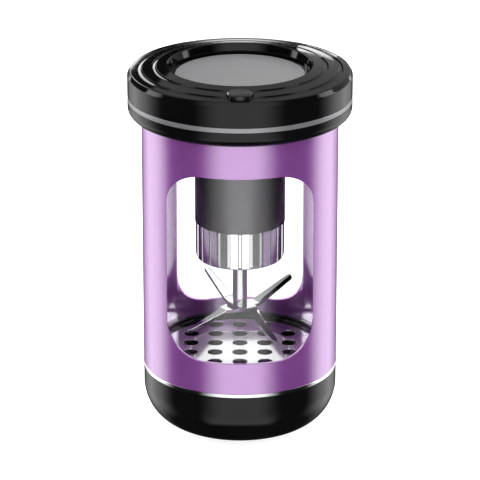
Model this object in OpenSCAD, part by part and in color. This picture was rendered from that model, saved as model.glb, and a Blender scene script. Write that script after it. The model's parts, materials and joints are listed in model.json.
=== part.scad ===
// Cordless jar grinder: a glass chamber in a windowed metal sleeve, a screw-off base cup with a
// sieve over it, and a lid that holds the battery, the motor and two crossed blade strips.
// Millimetres. +Z is up, the front is -Y, and the origin is under the middle of the base.

/* [Overall] */
// Height from the table to the rim of the lid
total_h = 125; // [124:0.5:127]
// Outer diameter of the metal sleeve
sleeve_d = 64.6; // [64.4:0.1:64.8]
// Outer diameter of the lid
lid_d = 73.6; // [73.4:0.1:74.4]

/* [Base cup] */
// Height of the cup's visible wall
base_h = 20.6; // [20:0.1:21]
// Height at which the wall starts to curve in
base_curve_z = 15; // [14:0.5:16]
// Radius of the flat part of the bottom
base_flat_r = 18.5; // [18:0.5:20]

/* [Sieve] */
// Diameter of one sieve hole
sieve_hole_d = 5; // [3:0.5:6]
// Distance between sieve holes, both ways
sieve_pitch = 8.3; // [8:0.1:9]
// Height of the sieve's top face
sieve_z = 25.8; // [25.6:0.1:26]

/* [Sleeve and glass] */
// Wall of the metal sleeve
sleeve_wall = 1.2; // [1:0.1:1.2]
// Wall of the glass tube
glass_wall = 2; // [1.6:0.1:2]
// Width of the front window, straight across
window_w = 47.6; // [44:0.5:50]
// Width of the rear window, straight across
rear_window_w = 45.6; // [44:0.5:50]
// Height of each window
window_h = 63.6; // [58:0.5:65]
// Height of the lower edge of the front window
window_z = 32.6; // [32:0.5:34]
// Corner radius of the windows
window_corner_r = 11.5; // [8:0.5:13]

/* [Lid] */
// Height of the lid, from the sleeve's shoulder to its rim
lid_h = 18; // [17.8:0.1:18.2]
// Diameter of the badge
badge_d = 42.4; // [40:0.5:43]
// Diameter of the power button
button_d = 8.3; // [7.5:0.1:8.3]

/* [Motor] */
// Diameter of the dark motor housing
housing_d = 29.8; // [29.6:0.1:30.4]
// Number of flutes round the chrome collar
flute_count = 24; // [18:2:30]
// Height of the chrome collar
collar_h = 13; // [12.8:0.1:13.2]

/* [Blades] */
// Distance from one blade tip to the opposite one
blade_span = 42; // [36:1:44]
// Angle at which one arm of each strip bends up
blade_rise = 24; // [18:0.5:28]
// Angle at which the upper strip's other arm bends down
upper_drop = 26; // [15:0.5:28]
// Angle at which the lower strip's other arm bends down
lower_drop = 17; // [15:0.5:28]
// Thickness of the blade strips
blade_t = 1.1; // [0.8:0.1:1.2]
// Direction of the first raised arm, round from the right
blade_turn = 34; // [0:1:89]

/* [Hidden] */
round_fn = 128;
small_fn = 48;
slip = 0.05;                                // clearance between parts that are pushed together

// heights, from the table up
foot_h = 0.6;
neck_top_z = sieve_z - 1.6;                 // rim of the base cup's threaded neck
flange_z = sieve_z + 0.1;                   // underside of the ring that holds the sieve down
gasket_h = 0.6;
glass_z = sieve_z + 1.4;
lid_z = total_h - lid_h;                    // the sleeve's shoulder
skirt_z = lid_z + 0.7;                      // lower edge of the lid
sleeve_top_z = lid_z + 2.6;
glass_top_z = lid_z - 1.8;
bulkhead_z = lid_z + 4;                     // underside of the lid's floor
floor_z = bulkhead_z + 1.8;                 // top of the lid's floor
band_z = lid_z + 6.2;
band_top_z = band_z + 1.7;
lid_side_z = lid_z + 14.7;
lid_chamfer_z = lid_z + 16.2;
recess_z = total_h - 4;                     // floor of the recess for the badge
board_z = floor_z + 4.7;
board_top_z = board_z + 1;
button_z = lid_side_z - 1.4;                // underside of the power button
collar_z = total_h - 66.6;                  // bottom of the chrome collar
housing_z = collar_z + collar_h;
hub_z = total_h - 82.7;                     // top of the flat middle of the blades

// radii
sleeve_r = sleeve_d / 2;
sleeve_in_r = sleeve_r - sleeve_wall;
rebate = 0.3;                               // the sleeve's top is turned down by this to take the lid
collar_out_r = sleeve_in_r - slip;
glass_r = sleeve_in_r - 0.2;
glass_in_r = glass_r - glass_wall;
base_r = sleeve_r - 0.05;
neck_r = sleeve_r - 2.4;
neck_in_r = neck_r - 2.3;
lid_r = lid_d / 2;
lid_in_r = lid_r - 1.6;
chamfer_r = lid_r - 0.9;
rim_r = 23.7;
badge_r = badge_d / 2;
recess_r = badge_r + 1.6;
spigot_r = neck_in_r - 0.4;
housing_r = housing_d / 2;
fluted_r = housing_r - 0.24;
can_r = 12.2;
boss_ring_r = 29.8;                         // circle of the four lid screws
boss_r = 2.4;
ear_ring_r = 16.6;                          // circle of the three housing screws
button_r = button_d / 2;
button_y = -30.5;
usb_z = board_z + 0.4;
usb_w = 8.94;
usb_t = 3.2;

// motor and shafts
motor_z = housing_z + 2;                    // face of the motor can
motor_shaft_r = 1.15;
blade_shaft_r = 2.5;
run_gap = 0.03;                             // radial running clearance of the shafts
can_h = 27.8;
core_z = motor_z + 5.6;
core_h = 16;
lead_x = 3;

// height of the sloping ring zone on top of the lid, at radius r
function top_z(r) = lid_chamfer_z + (chamfer_r - r) / (chamfer_r - rim_r) * (total_h - lid_chamfer_z);

// points along an ellipse's arc, from angle a0 to a1
function arc(cx, cz, rx, rz, a0, a1, n = 12) =
    [for (i = [0:n]) let (a = a0 + (a1 - a0) * i / n) [cx + rx * cos(a), cz + rz * sin(a)]];

// ---- shared shapes

module lathe(points) {
    rotate_extrude($fn = round_fn) polygon(points);
}

module ring(r_out, r_in, z0, z1) {
    lathe([[r_in, z0], [r_out, z0], [r_out, z1], [r_in, z1]]);
}

module rod(r, z0, z1) {
    translate([0, 0, z0]) cylinder(h = z1 - z0, r = r, $fn = small_fn);
}

module box(x0, x1, y0, y1, z0, z1) {
    translate([x0, y0, z0]) cube([x1 - x0, y1 - y0, z1 - z0]);
}

module around(count, radius, start = 0) {
    for (i = [0:count - 1]) rotate([0, 0, start + 360 * i / count]) translate([radius, 0, 0]) children();
}

// flat rounded rectangle, centred
module rounded_rect(w, h, r) {
    square([w - 2 * r, h], center = true);
    square([w, h - 2 * r], center = true);
    for (x = [-1, 1], y = [-1, 1])
        translate([x * (w / 2 - r), y * (h / 2 - r)]) circle(r = r, $fn = small_fn);
}

// countersunk screw standing on its point: head down, from z0 up to z1
module screw_up(z0, z1, r, head_r, head_h) {
    translate([0, 0, z0]) cylinder(h = head_h, r = head_r, $fn = small_fn);
    rod(r, z0 + head_h, z1);
}

// round wire through a list of points
module wire(points, r) {
    for (i = [0:len(points) - 1]) translate(points[i]) sphere(r = r, $fn = 24);
    for (i = [0:len(points) - 2]) {
        step = points[i + 1] - points[i];
        translate(points[i])
            rotate([0, acos(step[2] / norm(step)), atan2(step[1], step[0])])
                cylinder(h = norm(step), r = r, $fn = 24);
    }
}

// ---- base

// cup that catches the ground herbs, with a big rounded lower edge and a threaded neck
module base_cup() {
    wall = 2.6;
    thread = [for (i = [0:2], p = [[0, 0], [0.3, 0.4], [0.6, 0]])
        [neck_r - 0.5 + p[1], base_h + 0.5 + i + p[0]]];
    color("#16161a") difference() {
        lathe(concat(
            [[0, foot_h]],
            arc(base_flat_r, base_curve_z, base_r - base_flat_r, base_curve_z - foot_h, -90, 0, 20),
            [[base_r, base_h], [neck_r - 0.5, base_h]],
            thread,
            [[neck_r - 0.5, neck_top_z], [neck_in_r, neck_top_z],
             [neck_in_r, base_h - 1.3], [base_r - wall - 0.2, base_h - 3.1]],
            arc(base_flat_r - 1.5, base_curve_z, base_r - base_flat_r - wall + 1.3,
                base_curve_z - foot_h - wall, 0, -90, 16),
            [[0, foot_h + wall]]));
        ring(17.5, 14.5, -1, 1.6);
    }
}

// soft ring under the cup that the grinder stands on
module base_foot() {
    color("#2b2b2e") ring(17.5, 14.5, 0, 1.6);
}

// ---- sieve

// steel disc with a square grid of holes
module sieve_plate() {
    hole_limit = 22.6;
    half = sieve_pitch / 2;
    color("#d8d8dc") translate([0, 0, sieve_z - 0.8]) difference() {
        cylinder(h = 0.8, r = neck_r - 0.6, $fn = round_fn);
        for (x = [-3:3], y = [-5:2:5])
            if (norm([x * sieve_pitch, y * half]) < hole_limit)
                translate([x * sieve_pitch, y * half, -1])
                    cylinder(h = 3, r = sieve_hole_d / 2, $fn = small_fn);
    }
}

// silicone ring between the sieve and the cup's neck
module sieve_seal() {
    color("#303034") ring(neck_r - 0.6, neck_in_r, neck_top_z + slip, sieve_z - 0.8);
}

// ---- chamber

// cutter for one window; side 0 is the front and 1 the back
module window_cut(width, z, side) {
    translate([0, sleeve_d * side, z + window_h / 2]) rotate([90, 0, 0])
        linear_extrude(height = sleeve_d) rounded_rect(width, window_h, window_corner_r);
}

// anodised metal sleeve with a window in front and one behind
module sleeve() {
    color("#a667b8") difference() {
        lathe([[sleeve_in_r, base_h + 1.3], [sleeve_r, base_h + 1.3], [sleeve_r, lid_z - 0.4],
            [sleeve_r - rebate, lid_z], [sleeve_r - rebate, sleeve_top_z], [sleeve_in_r, sleeve_top_z]]);
        window_cut(window_w, window_z, 0);
        window_cut(rear_window_w, window_z - 0.7, 1);
    }
}

// bright ring at the foot of the sleeve
module chrome_ring() {
    z0 = base_h + slip;
    z1 = base_h + 1.3;
    color("#eeeef2") lathe([[collar_out_r + slip, z0], [sleeve_r - 0.15, z0], [sleeve_r + 0.05, z0 + 0.2],
        [sleeve_r + 0.05, z1 - 0.2], [sleeve_r - 0.15, z1], [collar_out_r + slip, z1]]);
}

// ring glued into the foot of the sleeve: it takes the cup's thread and holds the sieve down
module lower_collar() {
    hold_r = 27.3;
    top = glass_z - gasket_h;
    color("#141416") lathe([
        [neck_r + 0.4, base_h + 0.3], [collar_out_r, base_h + 0.3], [collar_out_r, top],
        [hold_r + 0.3, top], [hold_r, top - 0.3], [hold_r, flange_z], [neck_r + 0.4, flange_z]]);
}

// silicone ring under the glass
module lower_gasket() {
    color("#26262a") ring(glass_r, glass_in_r, glass_z - gasket_h, glass_z);
}

// clear glass tube, the grinding chamber's wall
module glass_tube() {
    color("#dfe8ee", 0.3) ring(glass_r, glass_in_r, glass_z, glass_top_z);
}

// silicone ring on top of the glass
module upper_gasket() {
    color("#26262a") ring(glass_r, glass_in_r, glass_top_z, glass_top_z + 0.8);
}

// ring that closes the top of the sleeve, guides the lid's spigot and carries the lid
module upper_collar() {
    bore_r = neck_in_r + 0.3;
    seat_z = bulkhead_z - slip;
    color("#141416") lathe([
        [bore_r, glass_top_z + 0.8], [collar_out_r, glass_top_z + 0.8], [collar_out_r, sleeve_top_z],
        [sleeve_r - rebate, sleeve_top_z], [sleeve_r - rebate, seat_z], [bore_r, seat_z]]);
}

// ---- lid

// lower half of the lid: skirt over the sleeve, floor, and the spigot that closes the chamber
module lid_base() {
    skirt_in_r = sleeve_r + 0.35;
    curve_w = lid_r - skirt_in_r - 0.1;
    curve_h = 3.6;
    lip_r = lid_in_r - 1.3;
    color("#151517") difference() {
        lathe(concat(
            [[0, bulkhead_z], [spigot_r - 1.8, bulkhead_z], [spigot_r - 1.8, lid_z - 2.5],
             [spigot_r - 0.4, lid_z - 2.5], [spigot_r, lid_z - 2.1], [spigot_r, lid_z + 0.05],
             [spigot_r - 1.1, lid_z + 0.05], [spigot_r - 1.1, lid_z + 1.55],
             [spigot_r, lid_z + 1.55], [spigot_r, bulkhead_z], [skirt_in_r, bulkhead_z],
             [skirt_in_r, skirt_z]],
            arc(lid_r - curve_w, skirt_z + curve_h, curve_w, curve_h, -90, 0),
            [[lid_r, band_z], [lip_r, band_z], [lip_r, band_z + 2.8],
             [lip_r - 0.9, band_z + 2.8], [lip_r - 0.9, floor_z], [0, floor_z]]));
        // way for the motor's leads
        translate([0, -11, 0]) rod(4.2, bulkhead_z - 1, floor_z + 1);
        around(4, boss_ring_r, 45) {
            rod(1.05, bulkhead_z - 1, floor_z + 1);
            rod(1.9, bulkhead_z - 1, bulkhead_z + 1.2);
        }
        around(3, ear_ring_r, 90) {
            rod(1.05, bulkhead_z - 1, floor_z + 1);
            rod(1.9, floor_z - 1.1, floor_z + 1);
        }
    }
}

// o-ring in the spigot's groove
module lid_seal() {
    color("#2e2e32") rotate_extrude($fn = round_fn)
        translate([spigot_r - 0.35, lid_z + 0.8]) circle(r = 0.75, $fn = small_fn);
}

// light grey band between the two halves of the lid
module lid_band() {
    color("#9a9aa0") lathe([
        [lid_in_r - 1.25, band_z], [lid_r - 0.25, band_z], [lid_r - 0.05, band_z + 0.2],
        [lid_r - 0.05, band_top_z - 0.2], [lid_r - 0.25, band_top_z], [lid_in_r - 1.25, band_top_z]]);
}

// upper half of the lid: side wall, sloping ring zone, and the recess for the badge
module lid_shell() {
    roof = 1.6;
    groove = 0.4;
    inner_groove = [rim_r + 3.6, rim_r + 5.1];
    outer_groove = [rim_r + 8.2, rim_r + 9.9];
    color("#18181b") difference() {
        union() {
            lathe([
                [lid_in_r, band_top_z], [lid_r, band_top_z], [lid_r, lid_side_z],
                [chamfer_r, lid_chamfer_z],
                [outer_groove[1], top_z(outer_groove[1])],
                [outer_groove[1], top_z(outer_groove[1]) - groove],
                [outer_groove[0], top_z(outer_groove[0]) - groove],
                [outer_groove[0], top_z(outer_groove[0])],
                [inner_groove[1], top_z(inner_groove[1])],
                [inner_groove[1], top_z(inner_groove[1]) - groove],
                [inner_groove[0], top_z(inner_groove[0]) - groove],
                [inner_groove[0], top_z(inner_groove[0])],
                [rim_r, total_h], [recess_r, recess_z + 1.6], [recess_r, recess_z], [0, recess_z],
                [0, recess_z - 1.4], [recess_r + 1.4, recess_z - 1.4],
                [rim_r + 1.5, top_z(rim_r + 1.5) - roof], [lid_in_r - 0.5, top_z(lid_in_r) - roof - 0.2],
                [lid_in_r, lid_side_z - 1]]);
            around(4, boss_ring_r, 45) rod(boss_r, floor_z + slip, top_z(boss_ring_r) - 1);
        }
        translate([0, button_y, 0]) rod(button_r + 0.15, recess_z - 5, total_h + 1);
        around(4, boss_ring_r, 45) rod(1.05, floor_z - 1, floor_z + 6.5);
        // slot for the charging socket, at the back
        translate([0, lid_r + 5, usb_z]) rotate([90, 0, 0])
            linear_extrude(height = 10) rounded_rect(usb_w + 0.5, usb_t + 0.5, usb_t / 2 + 0.2);
    }
}

// plain metal disc in the middle of the lid
module lid_badge() {
    z1 = recess_z + 0.8;
    color("#8c8c90") lathe([[0, recess_z], [badge_r, recess_z], [badge_r, z1 - 0.15],
        [badge_r - 0.15, z1], [0, z1]]);
}

// four screws that hold the lid's halves together
module lid_screws() {
    color("#b8b8bc") around(4, boss_ring_r, 45)
        screw_up(bulkhead_z + 0.1, bulkhead_z + 8, 1, 1.85, 1.1);
}

// ---- electronics

// round board under the lid's roof, cut out for the screw bosses and the socket
module circuit_board() {
    color("#1f6b3a") difference() {
        rod(lid_in_r - 2.8, board_z, board_top_z);
        around(4, boss_ring_r, 45) rod(boss_r + 0.4, board_z - 1, board_top_z + 1);
        box(-usb_w / 2 - 0.05, usb_w / 2 + 0.05, 28.1, 40, board_z - 1, board_top_z + 1);
    }
}

// charge and motor controller, under the board
module control_chip() {
    color("#202024") box(-11, -6, -24, -19, board_z - 1.1, board_z);
}

// switching transistor for the motor, under the board
module drive_transistor() {
    color("#28282c") box(6, 9.2, -23, -19.8, board_z - 1.2, board_z);
}

// tact switch under the power button
module power_switch() {
    color("#38383c") translate([0, button_y, 0]) difference() {
        box(-1.9, 1.9, -1.9, 1.9, board_top_z, board_top_z + 1);
        rod(1.1, board_top_z + 0.1, board_top_z + 2);
    }
}

// charging socket set into the back edge of the board
module usb_socket() {
    depth = 7.4;
    color("#c9c9ce") translate([0, 28.2 + depth, usb_z]) rotate([90, 0, 0]) {
        difference() {
            linear_extrude(height = depth) rounded_rect(usb_w, usb_t, usb_t / 2 - 0.01);
            translate([0, 0, -1]) linear_extrude(height = depth)
                rounded_rect(usb_w - 0.6, usb_t - 0.6, usb_t / 2 - 0.31);
        }
        translate([-3.3, -0.35, 0.8]) cube([6.6, 0.7, depth - 1]);
    }
}

// flat lithium cell on the lid's floor
module battery_cell() {
    color("#b9bcc4") box(-17.5, 17.5, -7.5, 24.5, floor_z + 0.4, floor_z + 4.6);
}

// adhesive foam under the cell
module battery_pad() {
    color("#4a4a4e") box(-15, 15, -5, 22, floor_z, floor_z + 0.4);
}

// the cell's two leads, up to the board
module battery_leads() {
    z = floor_z + 2.5;
    color("#b02020") for (x = [-9, 9])
        wire([[x, -8.1, z], [x, -10.5, z], [x, -10.5, board_z - 0.5]], 0.5);
}

// ---- motor

// dark housing that hangs from the lid's floor, with three screw ears at its top
module motor_housing() {
    bore_r = can_r + 0.3;
    color("#47454a") difference() {
        union() {
            lathe([[0, housing_z], [housing_r - 0.3, housing_z], [housing_r, housing_z + 0.3],
                [housing_r, bulkhead_z], [0, bulkhead_z]]);
            ring(fluted_r - 3.7, fluted_r - 4.7, housing_z - 1.5, housing_z + 0.5);
            around(3, ear_ring_r, 90) rod(2.7, lid_z - 4.5, bulkhead_z);
        }
        rod(bore_r, motor_z, bulkhead_z + 1);
        rod(3.3, housing_z - 1, motor_z + 1);
        around(2, 8) rod(1.3, housing_z - 1, motor_z + 1);
        around(3, ear_ring_r, 90) rod(1.05, lid_z - 3, bulkhead_z + 1);
    }
}

// three screws down through the lid's floor into the housing's ears
module housing_screws() {
    color("#b8b8bc") around(3, ear_ring_r, 90) {
        rod(1, lid_z - 2.5, floor_z - 1.05);
        rod(1.85, floor_z - 1.05, floor_z - 0.05);
    }
}

// steel can of the motor, shaft side down
module motor_can() {
    color("#a9abb0") difference() {
        union() {
            rod(can_r, motor_z, motor_z + can_h);
            rod(3.2, housing_z + 0.5, motor_z + 0.5);
        }
        rod(can_r - 0.8, motor_z + 0.8, motor_z + can_h + 1);
        rod(2.6, housing_z, motor_z + 2);
        around(2, 8) rod(1.02, motor_z - 1, motor_z + 2);
    }
}

// two curved magnets inside the can
module motor_magnets() {
    color("#3b3b40") for (a = [-65, 115]) rotate([0, 0, a])
        rotate_extrude(angle = 130, $fn = round_fn)
            translate([9.2, motor_z + 3.6]) square([2.15, 20]);
}

// plastic cap that closes the can and carries the brushes
module motor_end_cap() {
    z0 = motor_z + can_h;
    color("#d9d4c4") difference() {
        union() {
            rod(can_r - 0.1, z0, z0 + 3);
            ring(can_r - 0.9, can_r - 2, z0 - 3, z0 + 0.5);
        }
        rod(2.6, z0 - 1, z0 + 4);
        for (x = [-lead_x, lead_x]) box(x - 1.2, x + 1.2, -7.75, -7.25, z0 - 1, z0 + 4);
    }
}

// carbon brushes on either side of the commutator
module motor_brushes() {
    z = motor_z + can_h;
    color("#2c2c30") for (s = [0, 180]) rotate([0, 0, s]) box(3.1, 8.5, -1, 1, z - 2.4, z);
}

// tabs that stand out of the end cap
module motor_terminals() {
    z = motor_z + can_h;
    color("#d0b060") for (x = [-lead_x, lead_x]) box(x - 1.2, x + 1.2, -7.75, -7.25, z, z + 6);
}

// the motor's two leads, up through the lid's floor to the board
module motor_leads() {
    z = motor_z + can_h + 6;
    color("#303030") for (x = [-lead_x, lead_x])
        wire([[x, -7.5, z + 0.6], [x, -7.5, z + 2.2], [x, -11, z + 2.2], [x, -11, board_z - 0.6]], 0.6);
}

// plain bearing in the can's nose
module front_bushing() {
    color("#b08d57") ring(2.6, motor_shaft_r + run_gap, housing_z + 0.5, motor_z + 1.6);
}

// plain bearing in the end cap
module rear_bushing() {
    z = motor_z + can_h;
    color("#b08d57") ring(2.6, motor_shaft_r + run_gap, z + 0.3, z + 3);
}

// two screws through the housing's floor into the motor
module motor_screws() {
    color("#b8b8bc") around(2, 8) screw_up(housing_z - 0.9, motor_z + 1.8, 1, 1.8, 0.9);
}

// chrome collar with flat flutes between narrow ridges, under the housing
module fluted_collar() {
    ridge_w = 0.9;
    flat_r = fluted_r - 0.5;
    bore_r = fluted_r - 3.65;
    step = 360 / flute_count;
    color("#dcdce2") difference() {
        intersection() {
            translate([0, 0, collar_z]) linear_extrude(height = collar_h) {
                polygon([for (i = [0:flute_count - 1])
                    flat_r / cos(step / 2) * [cos(step * i + 90), sin(step * i + 90)]]);
                for (i = [0:flute_count - 1]) rotate([0, 0, step * i + 90])
                    translate([0, -ridge_w / 2]) square([fluted_r + 1, ridge_w]);
            }
            lathe(concat([[0, collar_z]],
                arc(fluted_r - 1.7, collar_z + 1.7, 1.7, 1.7, -90, 0, 8),
                [[fluted_r, housing_z], [0, housing_z]]));
        }
        difference() {
            rod(bore_r, collar_z + 2, housing_z + 1);
            rod(6.6, collar_z, collar_z + 7);
        }
        rod(5, collar_z + 0.8, collar_z + 8);
        rod(blade_shaft_r + 0.3, collar_z - 1, collar_z + 2);
    }
}

// long plain bearing for the blade shaft
module shaft_bushing() {
    color("#b08d57") ring(5, blade_shaft_r + run_gap, collar_z + 2.2, collar_z + 7);
}

// seal that keeps the ground herbs out of the bearing
module shaft_seal() {
    color("#2a2a2e") ring(5, blade_shaft_r + 0.06, collar_z + 0.8, collar_z + 2.2);
}

// ---- rotor

// steel motor shaft
module motor_shaft() {
    color("#c4c6ca") rod(motor_shaft_r, collar_z + 4, motor_z + can_h + 3.4);
}

// laminated iron core with three poles
module rotor_core() {
    color("#7d7f86") translate([0, 0, core_z]) linear_extrude(height = core_h) difference() {
        union() {
            circle(r = 3.2, $fn = small_fn);
            for (a = [0:120:240]) rotate(a) {
                translate([0, -1.5]) square([8, 3]);
                intersection() {
                    difference() {
                        circle(r = 8.7, $fn = round_fn);
                        circle(r = 7.2, $fn = round_fn);
                    }
                    polygon([[0, 0], [12, -11], [12, 11]]);
                }
            }
        }
        circle(r = motor_shaft_r, $fn = small_fn);
    }
}

// a copper coil round each pole
module rotor_windings() {
    color("#b5672e") for (a = [0:120:240]) rotate([0, 0, a]) difference() {
        box(3.7, 6.3, -3.3, 3.3, core_z - 1.5, core_z + core_h + 1.5);
        box(3, 7, -1.5, 1.5, core_z, core_z + core_h);
    }
}

// copper segments that the brushes touch
module commutator() {
    z = motor_z + can_h;
    color("#c77b3a") difference() {
        ring(3, motor_shaft_r, z - 3.4, z - 0.4);
        for (a = [60:120:300]) rotate([0, 0, a]) box(2.2, 4, -0.2, 0.2, z - 4, z);
    }
}

// two washers that take up the rotor's end play
module thrust_washers() {
    color("#d4d4d8") {
        ring(2.2, motor_shaft_r, motor_z + 2, motor_z + 2.5);
        ring(2.2, motor_shaft_r, core_z + core_h + 1.7, core_z + core_h + 2.2);
    }
}

// steel shaft pressed onto the motor shaft, stepped down where it carries the blades
module blade_shaft() {
    color("#dcdce0") difference() {
        union() {
            rod(blade_shaft_r, hub_z, housing_z - 1);
            rod(1.6, hub_z - 2 * blade_t, hub_z + 1);
        }
        rod(motor_shaft_r, collar_z + 3.6, housing_z + 1);
    }
}

// one strip: wide and flat in the middle, one arm bent up and the other down, tips round
module blade_strip(z1, drop) {
    flat_half = 6.6;
    hub_w = 6.4;
    root_w = 4.4;
    tip_w = 2.4;
    hub_half = 2.5;
    difference() {
        union() {
            translate([0, 0, z1 - blade_t]) linear_extrude(height = blade_t)
                polygon([[flat_half, root_w / 2], [hub_half, hub_w / 2],
                    [-hub_half, hub_w / 2], [-flat_half, root_w / 2],
                    [-flat_half, -root_w / 2], [-hub_half, -hub_w / 2],
                    [hub_half, -hub_w / 2], [flat_half, -root_w / 2]]);
            for (side = [0, 1]) {
                bend = side == 0 ? -blade_rise : drop;
                arm = (blade_span / 2 - flat_half) / cos(bend);
                rotate([0, 0, 180 * side]) translate([flat_half, 0, z1 - blade_t * (1 - side)])
                    rotate([0, bend, 0]) translate([0, 0, -blade_t * side])
                        linear_extrude(height = blade_t) {
                            polygon([[0, -root_w / 2], [arm - tip_w / 2, -tip_w / 2],
                                [arm - tip_w / 2, tip_w / 2], [0, root_w / 2]]);
                            translate([arm - tip_w / 2, 0]) circle(r = tip_w / 2, $fn = small_fn);
                        }
            }
        }
        rod(1.6, z1 - 2, z1 + 1);
    }
}

// strip on top, square to the one below it
module upper_blade() {
    color("#e2e2e6") rotate([0, 0, blade_turn + 90]) blade_strip(hub_z, upper_drop);
}

module lower_blade() {
    color("#cfcfd4") rotate([0, 0, blade_turn]) blade_strip(hub_z - blade_t, lower_drop);
}

// riveted end that clamps both strips against the shaft's step
module blade_rivet() {
    z = hub_z - 2 * blade_t;
    color("#c8c8cc") lathe([[0, z - 0.7], [1.6, z - 0.7], [2.1, z - 0.3], [2.1, z], [0, z]]);
}

// ---- power button

// button with a shallow dished top, kept in by a flange under the lid's roof
module power_button() {
    top = total_h - 0.1;
    flange_r = button_r + 0.35;
    chamfer = 0.3;
    dish = 0.22;
    color("#0e0e10") translate([0, button_y, 0]) lathe([
        [0, button_z], [flange_r, button_z], [flange_r, button_z + 0.6], [button_r, button_z + 0.6],
        [button_r, top - chamfer], [button_r - chamfer, top], [0, top - dish]]);
}

// the switch's own plunger, which the button rests on
module switch_plunger() {
    color("#55555a") translate([0, button_y, 0]) rod(1, board_top_z + 0.7, button_z);
}

base_cup();
base_foot();
sieve_plate();
sieve_seal();
sleeve();
chrome_ring();
lower_collar();
lower_gasket();
glass_tube();
upper_gasket();
upper_collar();
lid_base();
lid_seal();
lid_band();
lid_shell();
lid_badge();
lid_screws();
circuit_board();
control_chip();
drive_transistor();
power_switch();
usb_socket();
battery_cell();
battery_pad();
battery_leads();
motor_housing();
housing_screws();
motor_can();
motor_magnets();
motor_end_cap();
motor_brushes();
motor_terminals();
motor_leads();
front_bushing();
rear_bushing();
motor_screws();
fluted_collar();
shaft_bushing();
shaft_seal();
motor_shaft();
rotor_core();
rotor_windings();
commutator();
thrust_washers();
blade_shaft();
upper_blade();
lower_blade();
blade_rivet();
power_button();
switch_plunger();
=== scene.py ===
"""Looks of a cordless jar grinder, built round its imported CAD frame.

The scene is in metres. Sizes of the object and its cards are given in millimetres, and converted with MM.
"""
import json
import math

import bmesh
import bpy
from mathutils import Matrix, Vector
from mathutils.geometry import delaunay_2d_cdt


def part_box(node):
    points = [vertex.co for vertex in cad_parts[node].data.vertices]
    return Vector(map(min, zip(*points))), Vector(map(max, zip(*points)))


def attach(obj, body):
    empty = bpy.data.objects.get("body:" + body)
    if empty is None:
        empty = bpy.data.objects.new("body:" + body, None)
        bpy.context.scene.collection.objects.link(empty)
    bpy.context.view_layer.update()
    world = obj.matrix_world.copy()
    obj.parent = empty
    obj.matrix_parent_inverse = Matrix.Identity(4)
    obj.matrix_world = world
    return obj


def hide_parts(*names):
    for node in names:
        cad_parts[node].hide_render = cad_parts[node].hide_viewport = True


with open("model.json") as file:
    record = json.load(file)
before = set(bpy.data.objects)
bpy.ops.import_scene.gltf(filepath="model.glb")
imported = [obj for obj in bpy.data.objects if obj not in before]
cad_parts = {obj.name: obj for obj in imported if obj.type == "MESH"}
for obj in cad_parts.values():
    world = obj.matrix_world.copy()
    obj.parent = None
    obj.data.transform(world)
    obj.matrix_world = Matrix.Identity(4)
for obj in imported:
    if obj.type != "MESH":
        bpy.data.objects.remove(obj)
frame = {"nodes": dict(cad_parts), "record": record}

MM = 0.001
TURN = 2 * math.pi
SEGMENTS = 256
HOLE_SEGMENTS = 64
FILLET_STEPS = 5
SHARP_ANGLE = math.radians(32)
BEVEL_ANGLE = math.radians(50)

scene = bpy.context.scene
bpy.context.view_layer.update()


# ---- camera, in metres, at the photograph's viewing angle

CAMERA_DISTANCE = 1.045
CAMERA_ELEVATION = math.radians(20.37)
CAMERA_LENS = 236.4
TARGET_HEIGHT = 0.0639


def make_camera():
    data = bpy.data.cameras.new("camera")
    data.lens = CAMERA_LENS
    data.sensor_width = 36
    camera = bpy.data.objects.new("camera", data)
    scene.collection.objects.link(camera)
    away = Vector((0, -math.cos(CAMERA_ELEVATION), math.sin(CAMERA_ELEVATION)))
    camera.location = Vector((0, 0, TARGET_HEIGHT)) + away * CAMERA_DISTANCE
    camera.rotation_euler = (-away).to_track_quat("-Z", "Y").to_euler()
    scene.camera = camera


make_camera()


# ---- materials

NOISE_LOW, NOISE_HIGH = 0.3, 0.7


def start_material(name, color, metallic=0.0, roughness=0.5, ior=1.5):
    """A new material and its Principled shader."""
    mat = bpy.data.materials.new(name)
    mat.use_nodes = True
    shader = mat.node_tree.nodes["Principled BSDF"]
    shader.inputs["Base Color"].default_value = (*color, 1)
    shader.inputs["Metallic"].default_value = metallic
    shader.inputs["Roughness"].default_value = roughness
    shader.inputs["IOR"].default_value = ior
    return mat, shader


def add_node(mat, kind, **settings):
    """A new node; a setting is a socket's value where a socket has that name, and an option otherwise."""
    node = mat.node_tree.nodes.new(kind)
    for key, value in settings.items():
        if key in node.inputs:
            node.inputs[key].default_value = value
        else:
            setattr(node, key, value)
    return node


def stretched_noise(mat, scale, stretch=(1, 1, 1)):
    """Noise over the object's own coordinates; scale is in bumps per metre."""
    coords = add_node(mat, "ShaderNodeTexCoord")
    mapping = add_node(mat, "ShaderNodeMapping", Scale=stretch)
    noise = add_node(mat, "ShaderNodeTexNoise", Scale=scale, Detail=3.0)
    mat.node_tree.links.new(coords.outputs["Object"], mapping.inputs["Vector"])
    mat.node_tree.links.new(mapping.outputs["Vector"], noise.inputs["Vector"])
    return noise.outputs["Fac"]


def vary_color(mat, shader, value, dark, light):
    ramp = add_node(mat, "ShaderNodeValToRGB")
    ramp.color_ramp.elements[0].position = NOISE_LOW
    ramp.color_ramp.elements[1].position = NOISE_HIGH
    ramp.color_ramp.elements[0].color = (*dark, 1)
    ramp.color_ramp.elements[1].color = (*light, 1)
    mat.node_tree.links.new(value, ramp.inputs["Fac"])
    mat.node_tree.links.new(ramp.outputs["Color"], shader.inputs["Base Color"])


def vary_roughness(mat, shader, value, low, high):
    span = add_node(mat, "ShaderNodeMapRange")
    span.inputs["From Min"].default_value = NOISE_LOW
    span.inputs["From Max"].default_value = NOISE_HIGH
    span.inputs["To Min"].default_value = low
    span.inputs["To Max"].default_value = high
    mat.node_tree.links.new(value, span.inputs["Value"])
    mat.node_tree.links.new(span.outputs["Result"], shader.inputs["Roughness"])


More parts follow.
